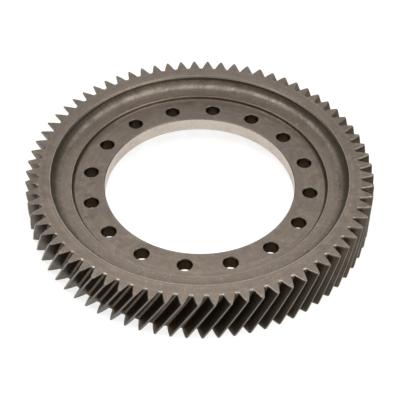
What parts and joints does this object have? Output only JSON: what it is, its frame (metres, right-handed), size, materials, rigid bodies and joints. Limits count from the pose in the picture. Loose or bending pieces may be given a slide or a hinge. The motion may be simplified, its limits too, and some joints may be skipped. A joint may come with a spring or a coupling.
{
  "type": "helical ring gear",
  "caption": "Helical ring gear with a toothed rim, a recessed web and a bored mounting flange with a ring of bolt holes.",
  "frame": {"origin": "gear axis at the lower rim face", "axes": "+Z along the gear axis, towards the face with the deeper recess; +X through a bolt hole"},
  "size_m": [0.2496, 0.2496, 0.0345],
  "materials": {
    "gear_steel": "machined and case-hardened steel, warm grey, with darker tooth flanks and bright bevelled edges"
  },
  "bodies": {
    "root": {"ring_gear": "gear_steel"}
  },
  "joints": []
}
